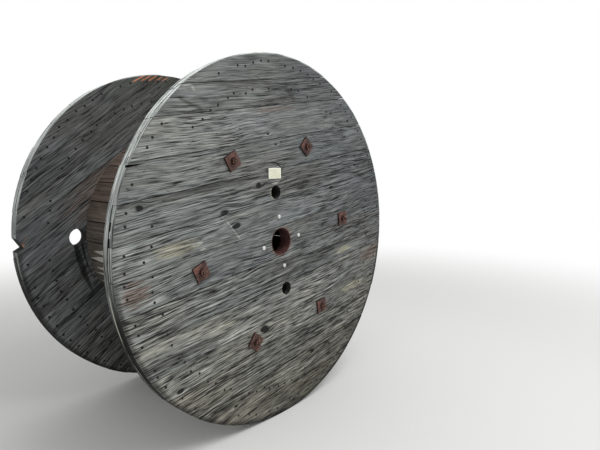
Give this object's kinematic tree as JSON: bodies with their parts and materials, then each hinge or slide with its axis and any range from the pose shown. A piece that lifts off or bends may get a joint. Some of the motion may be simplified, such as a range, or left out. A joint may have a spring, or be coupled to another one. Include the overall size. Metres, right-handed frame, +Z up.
{
  "type": "wooden cable drum",
  "caption": "Large weathered wooden drum for winding cable: two round flanges of crossed boards on a barrel of staves, held by tie rods with square plates.",
  "frame": {"origin": "on the floor below the middle of the drum's axis", "axes": "+Y along the drum's axis from the labelled near flange to the far flange, +Z up, +X to the right when the near flange is looked at from outside"},
  "size_m": [1.7996, 1.043, 1.7999],
  "materials": {
    "outer_board": "weathered grey sawn softwood",
    "inner_board": "weathered dark grey sawn softwood",
    "stave": "red-brown sawn softwood",
    "core_wood": "plain sawn softwood",
    "rusty_steel": "rusted all over",
    "rusty_bush": "rusted all over"
  },
  "bodies": {
    "root": {"near_outer_board_01": "outer_board", "near_outer_board_02": "outer_board", "near_outer_board_03": "outer_board", "near_outer_board_04": "outer_board", "near_outer_board_05": "outer_board", "near_outer_board_06": "outer_board", "near_outer_board_07": "outer_board", "near_outer_board_08": "outer_board", "near_outer_board_09": "outer_board", "near_outer_board_10": "outer_board", "near_outer_board_11": "outer_board", "near_outer_board_12": "outer_board", "near_outer_board_13": "outer_board", "near_inner_boards": "inner_board", "far_inner_board_01": "inner_board", "far_inner_board_02": "inner_board", "far_inner_board_03": "inner_board", "far_inner_board_04": "inner_board", "far_inner_board_05": "inner_board", "far_inner_board_06": "inner_board", "far_inner_board_07": "inner_board", "far_inner_board_08": "inner_board", "far_inner_board_09": "inner_board", "far_inner_board_10": "inner_board", "far_inner_board_11": "inner_board", "far_inner_board_12": "inner_board", "far_inner_board_13": "inner_board", "far_inner_board_14": "inner_board", "far_inner_board_15": "inner_board", "far_inner_board_16": "inner_board", "far_outer_boards": "outer_board", "barrel_staves": "stave", "core_ring_near": "core_wood", "core_ring_far": "core_wood", "centre_bush_near": "rusty_bush", "centre_bush_far": "rusty_bush", "tie_rod_1": "rusty_steel", "near_plate_1": "rusty_steel", "near_nut_1": "rusty_steel", "tie_rod_2": "rusty_steel", "near_plate_2": "rusty_steel", "near_nut_2": "rusty_steel", "tie_rod_3": "rusty_steel", "near_plate_3": "rusty_steel", "near_nut_3": "rusty_steel", "tie_rod_4": "rusty_steel", "near_plate_4": "rusty_steel", "near_nut_4": "rusty_steel", "tie_rod_5": "rusty_steel", "near_plate_5": "rusty_steel", "near_nut_5": "rusty_steel", "tie_rod_6": "rusty_steel", "near_plate_6": "rusty_steel", "near_nut_6": "rusty_steel", "far_plates": "rusty_steel", "far_nuts": "rusty_steel"}
  },
  "joints": []
}
